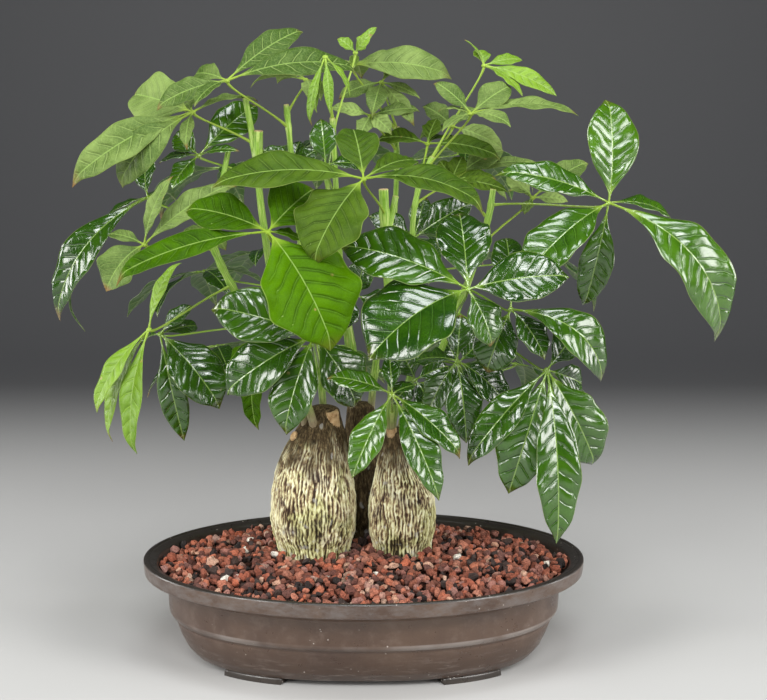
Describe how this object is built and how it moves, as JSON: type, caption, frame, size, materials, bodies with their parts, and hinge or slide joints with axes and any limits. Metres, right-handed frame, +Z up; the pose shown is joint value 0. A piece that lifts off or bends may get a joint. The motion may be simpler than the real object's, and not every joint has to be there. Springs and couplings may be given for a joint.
{
  "type": "potted money tree",
  "caption": "House plant with swollen corky trunks, green shoots and hand-shaped glossy leaves, standing in lava gravel in an oval brown training pot.",
  "frame": {"origin": "middle of the whole outline seen from above, at the height of the surface that the pot's feet stand on", "axes": "+Z up; +X to the right along the oval pot, +Y to the back, seen from the front"},
  "size_m": [0.5876, 0.4456, 0.562],
  "materials": {
    "pot_plastic": "satin",
    "lava_gravel": "matte",
    "bark": "matte",
    "green_stem": "satin",
    "leaf_light": "satin",
    "leaf_mid": "satin",
    "leaf_vivid": "satin",
    "leaf_dark": "gloss",
    "leaf_new": "satin"
  },
  "bodies": {
    "root": {"pot": "pot_plastic", "gravel_bed": "lava_gravel", "trunk_left": "bark", "trunk_right": "bark", "trunk_back": "bark", "shoot_left_a": "green_stem", "shoot_left_b": "green_stem", "shoot_left_c": "green_stem", "shoot_back_a": "green_stem", "shoot_back_b": "green_stem", "shoot_back_c": "green_stem", "shoot_right_a": "green_stem", "shoot_right_b": "green_stem", "shoot_right_c": "green_stem", "leaf_a": "leaf_light", "leaf_b": "leaf_light", "leaf_c": "leaf_light", "leaf_new_a": "leaf_new", "leaf_new_b": "leaf_new", "leaf_u": "leaf_light", "leaf_v": "leaf_mid", "leaf_w": "leaf_dark", "leaf_d": "leaf_mid", "leaf_e": "leaf_vivid", "leaf_m": "leaf_dark", "leaf_n": "leaf_light", "leaf_k": "leaf_new", "leaf_l": "leaf_dark", "leaf_x": "leaf_dark", "leaf_y": "leaf_vivid", "leaf_f": "leaf_dark", "leaf_g": "leaf_dark", "leaf_h": "leaf_dark", "leaf_i": "leaf_dark", "leaf_j": "leaf_mid", "leaf_p": "leaf_mid", "leaf_q": "leaf_light", "leaf_r": "leaf_new", "leaf_s": "leaf_light", "leaf_t": "leaf_mid", "leaf_o": "leaf_light", "leaf_back_01": "leaf_dark", "leaf_back_02": "leaf_dark", "leaf_back_03": "leaf_dark", "leaf_back_04": "leaf_dark", "leaf_back_05": "leaf_dark", "leaf_back_06": "leaf_dark", "leaf_back_07": "leaf_dark", "leaf_back_08": "leaf_dark", "leaf_back_09": "leaf_dark", "leaf_back_10": "leaf_dark", "leaf_back_11": "leaf_dark"}
  },
  "joints": []
}
